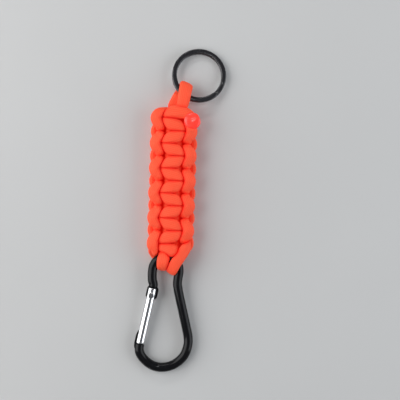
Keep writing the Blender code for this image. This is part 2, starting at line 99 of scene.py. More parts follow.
def tube_from_rings(name, rings, lengths, girth):
    """A closed tube through rings of points, with a UV map in girths around and along."""
    count, sides = rings.shape[:2]
    points = np.concatenate([rings.reshape(-1, 3), rings[0].mean(0)[None], rings[-1].mean(0)[None]])
    i = np.arange(count - 1)[:, None] * sides
    k = np.arange(sides)[None]
    k2 = (k + 1) % sides
    quads = np.stack([i + k, i + k2, i + sides + k2, i + sides + k], -1).reshape(-1, 4)
    k = np.arange(sides)
    k2 = (k + 1) % sides
    first, last = count * sides, count * sides + 1
    end = (count - 1) * sides
    tris = np.concatenate(
        [
            np.stack([np.full(sides, first), k2, k], -1),
            np.stack([np.full(sides, last), end + k, end + k2], -1),
        ]
    )
    mesh = mesh_from_arrays(name, points, quads, tris)
    around = np.arange(sides) / sides
    across = np.stack([around, around + 1 / sides, around + 1 / sides, around], -1)
    along = lengths / girth
    u = np.broadcast_to(across[None], (count - 1, sides, 4))
    v = np.stack([along[:-1], along[:-1], along[1:], along[1:]], -1)[:, None, :]
    v = np.broadcast_to(v, (count - 1, sides, 4))
    uv = np.stack([u, v], -1).reshape(-1, 2)
    caps = np.zeros((tris.size, 2))
    layer = mesh.uv_layers.new(name="UVMap")
    layer.data.foreach_set("uv", np.concatenate([uv, caps]).astype(np.float32).ravel())
    mesh.shade_smooth()
    return mesh


def unit(a):
    return a / np.maximum(np.linalg.norm(a, axis=-1, keepdims=True), 1e-9)


def catmull_rom(stations, samples=16):
    """Values along the Catmull-Rom curve through rows of stations, of any number of columns."""
    p = np.asarray(stations, float)
    before = np.vstack([p[:1], p[:-1]])[:-1]
    start, end = p[:-1], p[1:]
    after = np.vstack([p[2:], p[-1:]])
    t = (np.arange(samples) / samples)[None, :, None]
    before, start, end, after = (x[:, None, :] for x in (before, start, end, after))
    curve = 0.5 * (
        2 * start
        + (end - before) * t
        + (2 * before - 5 * start + 4 * end - after) * t**2
        + (3 * start - before - 3 * end + after) * t**3
    )
    return np.vstack([curve.reshape(-1, p.shape[1]), p[-1:]])


def arc_lengths(points):
    steps = np.linalg.norm(np.diff(points[:, :3], axis=0), axis=1)
    return np.concatenate([[0.0], np.cumsum(steps)])


def resampled(rows, step):
    """The rows at even steps of arc length, and those lengths."""
    lengths = arc_lengths(rows)
    count = max(3, int(round(lengths[-1] / step)) + 1)
    at = np.linspace(0.0, lengths[-1], count)
    return np.stack([np.interp(at, lengths, column) for column in rows.T], -1), at


def smoothed(rows, sigma):
    """Rows smoothed along the first axis by a Gaussian of sigma rows, with the ends held."""
    reach = max(1, int(3 * sigma))
    weights = np.exp(-0.5 * (np.arange(-reach, reach + 1) / sigma) ** 2)
    weights /= weights.sum()
    padded = np.concatenate([np.repeat(rows[:1], reach, 0), rows, np.repeat(rows[-1:], reach, 0)])
    return sum(w * padded[i : i + len(rows)] for i, w in enumerate(weights))


# ---------------------------------------------------------------- the cord's route

# Each station is (u, v, w), the direction that the cord's flat face looks in, its half width and
# half thickness, and its pull: how much room it takes from the strands beside it.
PITCH = 5.75
FIRST_BAR_V = 35.9
HALF_KNOTS = 12


def along(q):
    """The place along the weave of bar number q, counted from the key ring."""
    return FIRST_BAR_V - PITCH * (q - 1)


def half_knot(n, side, face):
    """One bar across the core on one face, then the loop up the far edge on the other face."""
    far = -side
    loop_u, loop_pull = (8.45, 2.75) if far < 0 else (8.3, 3.15)
    return [
        (side * 6.6, along(n - 0.28), -face * 1.6, side * 0.3, 0.7, -face * 0.6, 2.2, 1.4, 2.2),
        (side * 7.1, along(n - 0.32), face * 0.3, side, 0, 0, 1.8, 1.5, 1.7),
        (side * 5.2, along(n - 0.3), face * 2.95, side * 0.5, 0, face, 2.1, 1.3, 2.05),
        (side * 2.6, along(n - 0.17), face * 3.65, side * 0.1, 0, face, 2.85, 1.35, 2.5),
        (0.0, along(n), face * 3.85, 0, 0, face, 3.15, 1.35, 2.9),
        (far * 2.6, along(n + 0.17), face * 3.65, far * 0.1, 0, face, 2.85, 1.35, 2.5),
        (far * 5.2, along(n + 0.3), face * 2.95, far * 0.5, 0, face, 2.1, 1.3, 2.05),
        (far * 7.1, along(n + 0.32), face * 0.3, far, 0, 0, 1.8, 1.5, 1.7),
        (far * 6.6, along(n + 0.28), -face * 1.6, far * 0.3, -0.7, -face * 0.6, 2.2, 1.4, 2.2),
        (far * 6.75, along(n + 0.06), -face * 2.75, far * 0.4, 0, -face * 0.9, 2.8, 1.4, 2.9),
        (far * loop_u, along(n - 0.5), -face * 3.35, far * 0.45, 0, -face * 0.9, 2.85, 1.45, loop_pull),
        (far * 6.75, along(n - 1.06), -face * 2.75, far * 0.4, 0, -face * 0.9, 2.8, 1.4, 2.9),
    ]


def front_cord():
    """The cord that makes every front bar, from the carabiner up to its end at the back."""
    stations = [
        (-7.4, along(12) + 1.6, -0.2, -1, 0, 0, 1.8, 1.4, 1.6),
        (-4.4, along(11.85), 3.1, -0.5, 0, 1, 2.5, 1.3, 2.0),
        (0.4, along(12) - 0.5, 3.8, 0, 0, 1, 3.2, 1.35, 3.0),
        (3.6, along(12) - 1.6, 3.1, 0.4, 0, 1, 2.6, 1.3, 2.2),
        (6.0, along(12) - 1.6, 0.0, 1, 0, 0, 1.8, 1.4, 1.6),
        (7.3, along(12.0), -2.8, 0.5, 0, -0.85, 2.5, 1.4, 2.6),
        (8.2, along(11.5), -3.35, 0.45, 0, -0.9, 2.9, 1.45, 3.4),
        (6.9, along(10.9), -2.7, 0.45, 0, -0.9, 2.65, 1.4, 2.85),
    ]
    for n in range(HALF_KNOTS - 1, 1, -1):
        stations += half_knot(n, 1 if n % 2 else -1, 1)
    stations[-2:] = [
        (9.4, along(1.75), -2.0, 0.9, 0, -0.4, 2.5, 1.45, 2.6),
        (9.9, 31.9, 0.7, 0.85, 0, 0.4, 2.2, 1.45, 2.2),
    ]
    stations += [
        (7.7, 34.2, 2.7, 0.35, 0.3, 0.9, 2.45, 1.4, 2.3),
        (4.5, 35.75, 3.5, 0, 0, 1, 2.85, 1.35, 2.7),
        (0.0, 35.9, 3.7, 0, 0, 1, 3.2, 1.35, 2.95),
        (-4.5, along(1.2), 3.1, -0.5, 0, 1, 2.5, 1.3, 2.0),
        (-6.5, along(1.25), 0.2, -1, 0, 0, 1.8, 1.5, 1.6),
        (-7.0, 34.6, -2.4, -0.6, 0, -0.8, 2.0, 1.4, 2.0),
    ]
    return stations


def back_cord():
    """The cord that makes every back bar, from the carabiner up to its end at the front."""
    stations = [
        (6.6, along(11.75), 0.0, 1, 0, 0, 1.8, 1.4, 1.6),
        (4.6, along(11.8), -3.1, 0.5, 0, -1, 2.5, 1.3, 2.0),
        (0.0, along(12), -3.62, 0, 0, -1, 3.1, 1.32, 2.85),
        (-4.6, along(12) - 1.1, -3.1, -0.5, 0, -1, 2.4, 1.3, 2.0),
        (-6.8, along(12) - 1.9, -0.3, -1, 0, 0.1, 1.9, 1.4, 1.7),
        (-7.7, along(12) - 0.1, 2.7, -0.5, 0, 0.85, 2.6, 1.4, 2.8),
        (-8.2, along(11.5), 3.35, -0.45, 0, 0.9, 2.9, 1.45, 3.1),
        (-6.9, along(10.9), 2.7, -0.45, 0, 0.9, 2.65, 1.4, 2.85),
    ]
    for n in range(HALF_KNOTS - 1, 1, -1):
        stations += half_knot(n, -1 if n % 2 else 1, -1)
    stations[-1:] = [(-8.1, 34.2, 3.3, -0.5, 0, 0.85, 2.8, 1.4, 3.0)]
    stations += [
        (-6.7, 35.6, 3.0, -0.2, 0.2, 0.95, 2.6, 1.3, 2.6),
        (-4.4, 37.0, 1.5, -0.1, 0.9, 0.5, 2.1, 1.3, 2.0),
        (-3.6, 37.0, -1.9, -0.1, 0.9, -0.4, 2.2, 1.3, 1.9),
        (0.0, along(1), -3.6, 0, 0, -1, 3.0, 1.3, 2.8),
        (4.6, along(1.2), -3.1, 0.5, 0, -1, 2.5, 1.3, 2.0),
        (6.4, along(1.25), -0.3, 1, 0, 0, 1.8, 1.5, 1.7),
        (7.3, 33.6, 2.0, 0.9, 0, 0.3, 1.7, 1.5, 1.8),
        (8.0, 32.4, 3.5, 1, 0, 0.1, 1.9, 1.7, 2.2),
    ]
    return stations


LEFT_WRAP = [
    (-2.0, -20.0, 0.0, -0.3, 0, 1, 1.95, 1.85, 2.0),
    (-2.0, -24.0, 0.1, -0.3, 0, 1, 2.1, 1.7, 2.0),
    (-2.2, -27.2, 0.9, -0.1, 0, 1, 2.7, 1.4, 2.2),
    (-2.5, -30.2, 2.8, -0.1, 0, 1, 3.0, 1.25, 2.6),
    (-2.9, -32.9, 3.6, -0.1, 0, 1, 3.0, 1.2, 2.7),
    (-3.2, -35.5, 2.5, -0.1, -0.7, 0.7, 2.8, 1.2, 2.6),
    (-3.3, -36.5, 0.0, -0.1, -1, 0, 2.6, 1.2, 2.4),
    (-3.7, -35.5, -2.5, -0.2, -0.7, -0.7, 2.6, 1.2, 2.4),
    (-4.6, -32.7, -3.65, -0.2, 0, -1, 2.7, 1.25, 2.5),
    (-7.0, -30.0, -3.6, -0.3, 0, -1, 2.6, 1.3, 2.4),
    (-8.6, -28.0, -2.6, -0.8, 0, -0.7, 2.2, 1.4, 2.0),
]
RIGHT_WRAP = [
    (2.0, -20.0, 0.0, 0.3, 0, 1, 1.95, 1.85, 2.0),
    (2.0, -24.0, -0.1, 0.3, 0, -1, 2.1, 1.7, 2.0),
    (1.9, -27.4, -1.0, 0.1, 0, -1, 2.7, 1.4, 2.2),
    (1.7, -30.4, -2.9, 0.1, 0, -1, 3.0, 1.25, 2.6),
    (1.2, -33.2, -3.7, 0.1, 0, -1, 2.9, 1.2, 2.6),
    (0.5, -36.3, -2.5, -0.3, -0.7, -0.7, 2.7, 1.2, 2.5),
    (0.4, -37.8, 0.0, -0.55, -0.84, 0, 2.7, 1.2, 2.5),
    (1.1, -36.9, 2.6, -0.4, -0.55, 0.75, 2.7, 1.2, 2.6),
    (2.7, -34.0, 3.95, 0.1, -0.1, 1, 2.65, 1.25, 2.7),
    (4.8, -30.6, 4.2, 0.2, 0, 1, 2.7, 1.3, 2.8),
    (6.9, -27.4, 3.6, 0.45, 0, 0.9, 2.7, 1.35, 2.8),
    (8.3, -25.0, 2.0, 0.9, 0, 0.4, 2.3, 1.4, 2.2),
]
KEY_LOOP = [
    (-2.0, 30.0, 0.0, -0.3, 0, -1, 1.95, 1.85, 2.0),
    (-1.9, 33.6, 0.0, -0.3, 0, -1, 2.1, 1.6, 2.0),
    (-1.3, 37.2, -0.9, -0.1, 0, -1, 2.7, 1.3, 2.3),
    (0.1, 40.4, -2.2, 0, 0, -1, 3.05, 1.2, 2.7),
    (1.9, 44.0, -3.1, 0, 0, -1, 3.1, 1.15, 2.8),
    (3.6, 47.0, -2.9, 0.25, 0.6, -0.8, 3.1, 1.1, 2.8),
    (4.75, 48.9, -1.6, 0.35, 0.85, -0.4, 3.1, 1.1, 2.8),
    (5.15, 49.3, 0.1, 0.4, 0.9, 0.1, 3.1, 1.1, 2.8),
    (4.95, 47.9, 1.8, 0.2, 0.5, 0.8, 3.1, 1.1, 2.8),
    (4.5, 45.2, 2.6, 0, 0, 1, 3.0, 1.2, 2.8),
    (3.9, 41.2, 2.2, 0, 0, 1, 2.8, 1.3, 2.7),
    (2.9, 37.2, 0.9, 0.1, 0, 1, 2.5, 1.4, 2.3),
    (2.1, 33.6, 0.0, 0.3, 0, 1, 2.1, 1.6, 2.0),
    (2.0, 30.0, 0.0, 0.3, 0, 1, 1.95, 1.85, 2.0),
]


def core_strand(u, low, high, upwards):
    """Stations up or down one core strand, every 6 mm."""
    count = int(abs(high - low) / 6)
    places = np.linspace(low, high, count + 1)
    face = -1 if upwards else 1
    rows = [(u, v, 0.0, math.copysign(0.3, u), 0, face, 1.95, 1.85, 2.0) for v in places]
    return rows if upwards else rows[::-1]


CORE_TURNS_OVER = [(-2.0, -14.0, 0.0, -1.0, 0, 0.0, 1.9, 1.85, 2.0)]
CORE_UP = core_strand(-2.0, -9.0, 25.0, True)
CORE_DOWN = core_strand(2.0, -14.0, 25.0, False)
ROUTE_PARTS = [
    ("front", front_cord()[::-1]),
    ("wrap_left", LEFT_WRAP[::-1]),
    ("core", CORE_TURNS_OVER + CORE_UP + KEY_LOOP + CORE_DOWN),
    ("wrap_right", RIGHT_WRAP),
    ("back", back_cord()),
]

# The cord's mesh: its ring spacing and points round, and the lowest that it may lie.
CURVE_SAMPLES = 16
FINE_STEP = 0.28
SIDES = 80
RESTING_Z = 0.02

# The cord's section is a superellipse. Stretches of cord press on each other where they are near in
# space (NEAR_STRAND_SQUARED, in square mm) and further apart along the cord than OWN_LENGTH. A bend
# flattens the inside of the cord, and no radius is under THINNEST.
SECTION_POWER = 2.35
NEAR_STRAND_SQUARED = 72.0
OWN_LENGTH = 4.6
UNPRESSED = 9.0
BEND_ROOM = 0.9
LEAST_BEND = 0.09
LEAST_WEIGHT = 0.25
LEAST_REACH = 0.05
STRAND_GAP = 0.03
THINNEST = 0.35
PRESS_SOFTNESS = 10.0
CREASE_REACH = 1.3

# The braid: columns of stitches round the cord, the stitches' length and slant, and their relief.
BRAID_COLUMNS = 16
STITCH = 1.12
STITCH_SLANT = 0.9
BRAID_RELIEF = 0.055
FILAMENTS_PER_STITCH = 4.0
GIRTH = 12.5


def whole_cord():
    """The cord from end to end at FINE_STEP: its rows, lengths, and where each part begins."""
    stations = np.array([row for name, rows in ROUTE_PARTS for row in rows], float)
    curve = catmull_rom(stations, CURVE_SAMPLES)
    lengths = arc_lengths(curve)
    starts = {}
    i = 0
    for name, rows in ROUTE_PARTS:
        starts[name] = lengths[min(i * CURVE_SAMPLES, len(lengths) - 1)]
        i += len(rows)
    rows, at = resampled(curve, FINE_STEP)
    rows = smoothed(rows, 1.6)
    return rows, at, starts


def cord_rings(rows, at, obstacles):
    """The cord's surface as rings of points, squeezed by its own neighbouring strands.

    Also gives the cord's direction at each ring, and how hard each point is pressed, from 0 to 1, which
    sets the nylon's painted crease shade.
    """
    centre = rows[:, :3]
    tangent = unit(np.gradient(centre, axis=0))
    normal = rows[:, 3:6]
    normal = unit(normal - (normal * tangent).sum(1)[:, None] * tangent)
    across = np.cross(tangent, normal)
    curving = smoothed(np.gradient(tangent, axis=0) / FINE_STEP, 2.0)
    angle = np.arange(SIDES) * math.tau / SIDES
    cos, sin = np.cos(angle), np.sin(angle)
    half_wide, half_thick, pull = rows[:, 6:7], rows[:, 7:8], rows[:, 8]
    power = SECTION_POWER
    free = (np.abs(cos / half_wide) ** power + np.abs(sin / half_thick) ** power) ** (-1 / power)
    picked = np.arange(0, len(rows), 2)
    limit = np.full((len(picked), SIDES), UNPRESSED)
    for row, i in enumerate(picked):
        away = centre[picked] - centre[i]
        reach = (away**2).sum(1)
        near = (reach < NEAR_STRAND_SQUARED) & (np.abs(at[picked] - at[i]) > OWN_LENGTH)
        directions = cos[:, None] * across[i] + sin[:, None] * normal[i]
        bend = directions @ curving[i]
        limit[row] = np.minimum(limit[row], BEND_ROOM / np.maximum(bend, LEAST_BEND))
        if not near.any():
            continue
        dots = directions @ away[near].T
        weight = (reach[near] + pull[i] ** 2 - pull[picked][near] ** 2) / 2
        weight = np.maximum(weight, LEAST_WEIGHT)
        reached = weight / np.maximum(dots, LEAST_REACH)
        ratio = np.where(dots > LEAST_REACH, reached, UNPRESSED)
        limit[row] = np.minimum(limit[row], ratio.min(1))
    limit = np.stack([np.interp(at, at[picked], column) for column in limit.T], -1)
    limit = np.maximum(limit - STRAND_GAP, THINNEST)
    soft = PRESS_SOFTNESS
    # Painted crease shade: how hard each point is pressed sets where the nylon is painted a deeper,
    # shaded red.
    press_shade = np.clip((free * CREASE_REACH - limit) / CREASE_REACH, 0.0, 1.0)
    radius = (free**-soft + limit**-soft) ** (-1 / soft)
    wrapped = np.concatenate([radius[:, -6:], radius, radius[:, :6]], 1)
    radius = smoothed(wrapped.T, 1.3).T[:, 6:-6]
    radius = smoothed(radius, 2.2)
    spread = cos[None, :, None] * across[:, None] + sin[None, :, None] * normal[:, None]
    rings = centre[:, None] + radius[..., None] * spread
    for places, clearance in obstacles:
        rings = pushed_clear(rings, places, clearance)
    press_shade = np.concatenate([press_shade[:, -12:], press_shade, press_shade[:, :12]], 1)
    press_shade = smoothed(smoothed(press_shade.T, 3.5).T[:, 12:-12], 3.0)
    rings, press_shade = evenly_round(rings, press_shade)
    return rings, tangent, press_shade


def pushed_clear(rings, places, clearance):
    """Ring points moved out of a round bar that runs through the given places."""
    flat = rings.reshape(-1, 3)
    low, high = places.min(0) - clearance, places.max(0) + clearance
    inside = np.nonzero(((flat > low) & (flat < high)).all(1))[0]
    for chunk in np.array_split(inside, max(1, len(inside) // 20000)):
        away = flat[chunk][:, None] - places[None]
        reach = np.linalg.norm(away, axis=2)
        nearest = reach.argmin(1)
        pick = np.arange(len(chunk))
        close = reach[pick, nearest] < clearance
        direction = unit(away[pick, nearest])
        flat[chunk[close]] = places[nearest[close]] + direction[close] * clearance
    return flat.reshape(rings.shape)


def evenly_round(rings, press_shade):
    """The same rings and values with their points an even distance apart, for an even braid."""
    closed = np.concatenate([rings, rings[:, :1]], 1)
    steps = np.linalg.norm(np.diff(closed, axis=1), axis=2)
    sums = np.concatenate([np.zeros((len(rings), 1)), np.cumsum(steps, 1)], 1)
    result = np.empty_like(rings)
    values = np.empty_like(press_shade)
    share = np.arange(SIDES) / SIDES
    for i in range(len(rings)):
        at = share * sums[i, -1]
        for axis in range(3):
            result[i, :, axis] = np.interp(at, sums[i], closed[i, :, axis])
        values[i] = np.interp(at, sums[i], np.append(press_shade[i], press_shade[i, 0]))
    return result, values


def braided(rings, tangent, at):
    """The rings with the cord's braid raised on them: columns of slanting stitches."""
    around = np.arange(SIDES) / SIDES * BRAID_COLUMNS
    slant = np.abs((around % 2.0) - 1.0)
    column = np.abs(np.sin(math.pi * around)) ** 0.7
    phase = at[:, None] / STITCH + slant[None] * STITCH_SLANT
    relief = BRAID_RELIEF * (1.25 * column[None] - 0.6 + 0.45 * np.cos(math.tau * phase))
    ring_step = np.roll(rings, -1, 1) - np.roll(rings, 1, 1)
    outward = unit(np.cross(ring_step, tangent[:, None]))
    return rings + relief[..., None] * outward


# ---------------------------------------------------------------- materials


class Nodes:
    """A material's node tree, with short calls to add and join nodes."""

    def __init__(self, name):
        self.material = bpy.data.materials.new(name)
        self.material.use_nodes = True
        self.tree = self.material.node_tree
        self.shader = self.tree.nodes["Principled BSDF"]

    def join(self, source, target):
        self.tree.links.new(source, target)

    def set(self, **values):
        for key, value in values.items():
            sockets = [s for s in self.shader.inputs if s.name.lower() == key.replace("_", " ")]
            sockets[0].default_value = value

    def math(self, operation, a, b=None):
        node = self.tree.nodes.new("ShaderNodeMath")
        node.operation = operation
        for socket, value in zip(node.inputs, (a, b)):
            if value is None:
                continue
            if isinstance(value, (int, float)):
                socket.default_value = value
            else:
                self.join(value, socket)
        return node.outputs[0]

    def mix(self, factor, a, b):
        node = self.tree.nodes.new("ShaderNodeMix")
        node.data_type = "RGBA"
        self.join(factor, node.inputs["Factor"])
        colour_sockets = [s for s in node.inputs if s.type == "RGBA"]
        for socket, value in zip(colour_sockets, (a, b)):
            if isinstance(value, tuple):
                socket.default_value = (*value, 1.0)
            else:
                self.join(value, socket)
        return next(s for s in node.outputs if s.type == "RGBA")

    def ramp(self, source, low, high, from_low=0.0, from_high=1.0):
        node = self.tree.nodes.new("ShaderNodeMapRange")
        node.inputs["From Min"].default_value = from_low
        node.inputs["From Max"].default_value = from_high
        node.inputs["To Min"].default_value = low
        node.inputs["To Max"].default_value = high
        self.join(source, node.inputs["Value"])
        return node.outputs["Result"]

    def noise(self, vector, scale, detail=3.0, roughness=0.55):
        node = self.tree.nodes.new("ShaderNodeTexNoise")
        node.inputs["Scale"].default_value = scale
        node.inputs["Detail"].default_value = detail
        node.inputs["Roughness"].default_value = roughness
        self.join(vector, node.inputs["Vector"])
        return node.outputs["Fac"]

    def scaled(self, vector, x, y, z):
        node = self.tree.nodes.new("ShaderNodeMapping")
        node.inputs["Scale"].default_value = (x, y, z)
        self.join(vector, node.inputs["Vector"])
        return node.outputs["Vector"]

    def place(self, output="Object"):
        return self.tree.nodes.new("ShaderNodeTexCoord").outputs[output]

    def bump(self, height, strength, distance):
        node = self.tree.nodes.new("ShaderNodeBump")
        node.inputs["Strength"].default_value = strength
        node.inputs["Distance"].default_value = distance
        self.join(height, node.inputs["Height"])
        self.join(node.outputs["Normal"], self.shader.inputs["Normal"])


def nylon_material():
    """Fluorescent braided nylon: slanting stitches of fine filaments, with painted shade in the braid's
    grooves, a deeper red painted shade where strands press, and a faint painted glow.
    """
    m = Nodes("neon_orange_braid")
    uv = m.place("UV")
    split = m.tree.nodes.new("ShaderNodeSeparateXYZ")
    m.join(uv, split.inputs[0])
    around = m.math("MULTIPLY", split.outputs["X"], float(BRAID_COLUMNS))
    slant = m.math("PINGPONG", around, 1.0)
    stitches = m.math("MULTIPLY", split.outputs["Y"], GIRTH / STITCH)
    phase = m.math("ADD", stitches, m.math("MULTIPLY", slant, STITCH_SLANT))
    filament = m.math("SINE", m.math("MULTIPLY", phase, math.tau * FILAMENTS_PER_STITCH))
    column = m.math("ABSOLUTE", m.math("SINE", m.math("MULTIPLY", around, math.pi)))
    stitch = m.math("COSINE", m.math("MULTIPLY", phase, math.tau))
    fine = m.noise(m.scaled(uv, 190.0, 190.0, 1.0), 1.0, 4.0)
    patches = m.noise(m.place(), 160.0, 3.0)
    height = m.math("ADD", m.math("MULTIPLY", filament, 0.25), m.math("MULTIPLY", stitch, 0.35))
    height = m.math("ADD", height, m.math("MULTIPLY", column, 0.8))
    height = m.math("ADD", height, m.math("MULTIPLY", fine, 0.5))
    # Painted shade: the grooves between stitch columns get a darker red than the lit colour.
    groove_shade = m.ramp(m.math("ADD", column, m.math("MULTIPLY", stitch, 0.2)), 0.0, 1.0, -0.1, 0.75)
    lit = m.mix(patches, (1.0, 0.1, 0.038), (1.0, 0.135, 0.056))
    colour = m.mix(groove_shade, (0.93, 0.055, 0.02), lit)
    # Painted shade and bounced light: where strands press, the colour turns a deep shaded red.
    crease_shade = m.tree.nodes.new("ShaderNodeAttribute")
    crease_shade.attribute_name = "crease_shade"
    colour = m.mix(m.ramp(crease_shade.outputs["Fac"], 0.0, 1.0, 0.02, 0.62), colour, (0.9, 0.012, 0.005))
    m.join(colour, m.shader.inputs["Base Color"])
    m.join(m.ramp(fine, 0.55, 0.8), m.shader.inputs["Roughness"])
    m.bump(height, 0.35, 0.00012)
    m.set(sheen_weight=0.12, sheen_roughness=0.4, specular_ior_level=0.25)
    m.shader.inputs["Sheen Tint"].default_value = (1.0, 0.5, 0.35, 1.0)
    # Painted glow: a faint red emission stands in for fluorescence and lifts the nylon's shade.
    m.shader.inputs["Emission Color"].default_value = (1.0, 0.008, 0.004, 1.0)
    m.shader.inputs["Emission Strength"].default_value = 0.1
    return m.material


def melted_material():
    """Nylon melted with a flame: deeper, glossy and a little see-through, with soft ripples and a faint
    painted red glow.
    """
    m = Nodes("melted_nylon_end")
    place = m.place()
    cloudy = m.noise(place, 420.0, 4.0)
    ripple = m.noise(place, 900.0, 2.0)
    m.join(m.mix(cloudy, (0.9, 0.022, 0.014), (1.0, 0.11, 0.075)), m.shader.inputs["Base Color"])
    m.join(m.ramp(ripple, 0.1, 0.22), m.shader.inputs["Roughness"])
    m.bump(ripple, 0.08, 0.0003)
    m.set(subsurface_weight=0.3, subsurface_scale=0.002, specular_ior_level=0.4)
    m.shader.inputs["Subsurface Radius"].default_value = (1.0, 0.25, 0.12)
    # Painted glow: a red emission stands in for fluorescence and lifts the shade of the melted end.
    m.shader.inputs["Emission Color"].default_value = (1.0, 0.02, 0.012, 1.0)
    m.shader.inputs["Emission Strength"].default_value = 0.25
    return m.material


def oxide_material():
    """Black oxide on spring steel: satin, a little mottled, paler where edges have rubbed."""
    m = Nodes("black_oxide_wire")
    place = m.place()
    mottle = m.noise(place, 700.0, 4.0)
    wear = m.noise(place, 190.0, 5.0, 0.7)
    geometry = m.tree.nodes.new("ShaderNodeNewGeometry")
    edges = m.ramp(geometry.outputs["Pointiness"], 0.0, 1.0, 0.52, 0.6)
    rubbed = m.math("MULTIPLY", edges, m.ramp(wear, 0.0, 1.0, 0.42, 0.62))
    dark = m.mix(mottle, (0.01, 0.01, 0.012), (0.024, 0.022, 0.026))
    m.join(m.mix(rubbed, dark, (0.11, 0.105, 0.11)), m.shader.inputs["Base Color"])
    m.join(m.ramp(mottle, 0.15, 0.23), m.shader.inputs["Roughness"])
    m.bump(mottle, 0.08, 0.00003)
    m.set(metallic=0.2, specular_ior_level=0.75)
    return m.material


def anodised_material():
    """Gloss black anodised aluminium with fine handling marks."""
    m = Nodes("black_anodised_aluminium")
    place = m.place()
    marks = m.noise(m.scaled(place, 1.0, 0.12, 1.0), 2600.0, 2.0)
    smears = m.noise(place, 130.0, 4.0)
    fine = m.noise(place, 1500.0, 3.0)
    tone = m.ramp(marks, 0.0, 1.0, 0.6, 0.78)
    m.join(m.mix(tone, (0.006, 0.006, 0.007), (0.022, 0.021, 0.022)), m.shader.inputs["Base Color"])
    m.join(m.ramp(smears, 0.07, 0.14, 0.3, 0.7), m.shader.inputs["Roughness"])
    m.bump(fine, 0.08, 0.00003)
    m.set(specular_ior_level=0.18)
    return m.material


def aluminium_material(name, tone=0.8, rough=0.13):
    """Bright aluminium, drawn lengthwise, with light scuffs."""
    m = Nodes(name)
    uv = m.place("UV")
    place = m.place()
    drawn = m.noise(m.scaled(uv, 90.0, 1.5, 1.0), 1.0, 4.0, 0.7)
    scuffs = m.noise(place, 600.0, 5.0, 0.75)
    worn = m.ramp(scuffs, 0.0, 1.0, 0.55, 0.75)
    dull = (tone * 0.62, tone * 0.63, tone * 0.65)
    bright = (tone, tone * 1.005, tone * 1.02)
    m.join(m.mix(worn, bright, dull), m.shader.inputs["Base Color"])
    roughness = m.ramp(m.math("ADD", drawn, worn), rough * 0.7, rough * 1.9, 0.3, 1.3)
    m.join(roughness, m.shader.inputs["Roughness"])
    m.bump(drawn, 0.12, 0.00004)
    m.set(metallic=1.0)
    return m.material


def floor_material():
    """A plain pale floor, a little uneven in tone."""
    m = Nodes("pale_floor")
    tone = m.noise(m.place(), 9.0, 3.0)
    m.join(m.mix(tone, (0.56, 0.56, 0.555), (0.6, 0.6, 0.595)), m.shader.inputs["Base Color"])
    m.set(roughness=0.85, specular_ior_level=0.2)
    return m.material


nylon = nylon_material()
melted = melted_material()
oxide = oxide_material()
anodised = anodised_material()
aluminium = aluminium_material("polished_aluminium_gate")
steel = aluminium_material("bright_steel_rivet", 0.62, 0.18)


# ---------------------------------------------------------------- the carabiner

ROD_D = 4.3
EYE_BAR = (-1.7, -31.5)
GATE_PIVOT = (-8.2, -49.2)
GATE_END = (-12.7, -72.1)
GATE_D = 4.1
GATE_LENGTH = math.hypot(GATE_PIVOT[0] - GATE_END[0], GATE_PIVOT[1] - GATE_END[1])
GATE_LEAN = -math.atan2(GATE_PIVOT[0] - GATE_END[0], GATE_PIVOT[1] - GATE_END[1])
GATE_ABOVE_PIVOT = 3.3
SHOULDER_ABOVE_PIVOT = 4.1
SHOULDER_GAP = 0.45
TONGUE_THICK = 1.4
SLOT_WIDE = 1.8
SLOT_BELOW_PIVOT = 3.3
TONGUE_WIDTH = 5.4
CAM_OFFSET = 0.2
TONGUE_BELOW_PIVOT = 2.3
NOSE_LENGTH = 6.6
NOSE_PROUD = 0.65
NOSE_WALL = 0.9
EDGE_STEPS = 5
ROD_STEP = 0.4
TONGUE_BEVEL = 0.22
ROD_ROUTE = (
    (-7.85, -42.5),
    (-8.0, -38.5),
    (-7.35, -35.0),
    (-5.1, -32.3),
    (-1.7, -31.5),
    (1.7, -32.2),
    (3.9, -34.7),
    (4.45, -37.6),
    (4.05, -41.0),
    (3.9, -44.0),
    (4.9, -49.0),
    (6.65, -55.95),
    (8.4, -62.95),
    (9.7, -68.8),
    (9.55, -73.0),
    (7.9, -77.5),
    (4.25, -81.15),
    (-0.55, -83.1),
    (-5.65, -82.85),
    (-10.0, -80.3),
    (-12.7, -76.8),
)


def carabiner_matrix():
    """The carabiner's own plane: its origin on the eye bar, its Z along the gate's axis."""
    normal = Vector(JOINTS["gate_swing"]["axis"]).normalized()
    eye = Vector(JOINTS["carabiner_tilt"]["pos_m"]) / MM
    x = Vector((1.0, 0.0, 0.0))
    y = normal.cross(x).normalized()
    turn = Matrix((x, y, normal)).transposed().to_4x4()
    return Matrix.Translation(eye) @ turn


def gate_matrix():
    pivot = Vector(JOINTS["gate_swing"]["pos_m"]) / MM
    turn = carabiner_matrix().to_3x3() @ Matrix.Rotation(GATE_LEAN, 3, "Z")
    return Matrix.Translation(pivot) @ turn.to_4x4()


def in_gate_frame(x, y):
    """A place given from the gate's pivot across and along it, in the carabiner's plane."""
    cos, sin = math.cos(GATE_LEAN), math.sin(GATE_LEAN)
    return (
        GATE_PIVOT[0] - EYE_BAR[0] + x * cos - y * sin,
        GATE_PIVOT[1] - EYE_BAR[1] + x * sin + y * cos,
    )


def rod_line():
    """The rod's centre line from shoulder to shoulder, in the row frame."""
    nose = -GATE_LENGTH - SHOULDER_GAP
    places = [in_gate_frame(0, SHOULDER_ABOVE_PIVOT), in_gate_frame(0, SHOULDER_ABOVE_PIVOT + 1)]
    places += [(u - EYE_BAR[0], v - EYE_BAR[1]) for u, v in ROD_ROUTE]
    places += [in_gate_frame(0, nose - 1.2), in_gate_frame(0, nose)]
    rows, at = resampled(catmull_rom([(x, y, 0.0) for x, y in places]), ROD_STEP)
    matrix = np.array(carabiner_matrix())
    return smoothed(rows, 1.5) @ matrix[:3, :3].T + matrix[:3, 3], at


